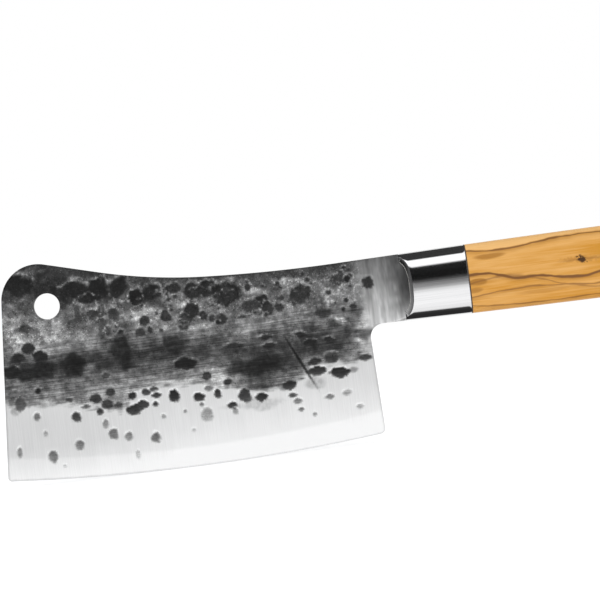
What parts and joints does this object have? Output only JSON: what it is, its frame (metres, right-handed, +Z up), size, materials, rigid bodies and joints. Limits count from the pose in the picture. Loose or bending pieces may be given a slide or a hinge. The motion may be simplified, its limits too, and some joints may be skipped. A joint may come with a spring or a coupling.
{
  "type": "meat cleaver",
  "caption": "Forged meat cleaver with a hanging hole, a hammered broad blade, a steel bolster sleeve and a hidden-tang olive wood grip.",
  "frame": {"origin": "middle of the hanging hole, halfway through the blade's thickness", "axes": "+X along the grip towards its butt, +Y through the blade's thickness, +Z up from the cutting edge to the spine"},
  "size_m": [0.3239, 0.0242, 0.1019],
  "materials": {
    "forged_steel": "dark hammered forge scale above, bright brushed steel along the edge",
    "solder": "silver solder, dressed flush",
    "bolster_steel": "finely brushed, near polished",
    "epoxy": "cast epoxy",
    "fibre_spacer": "dark vulcanised fibre",
    "olive_wood": "oiled olive wood with dark wavy veins",
    "plug_wood": "oiled olive wood, end grain",
    "fastener_steel": "plain steel"
  },
  "bodies": {
    "root": {"blade": "forged_steel", "seam_solder": "solder", "bolster_sleeve": "bolster_steel", "bolster_filler": "epoxy", "joint_spacer": "fibre_spacer", "handle_grip": "olive_wood", "tang_epoxy": "epoxy", "tang_rod": "fastener_steel", "rod_weld": "fastener_steel", "butt_washer": "fastener_steel", "butt_nut": "fastener_steel", "butt_plug": "plug_wood"}
  },
  "joints": []
}
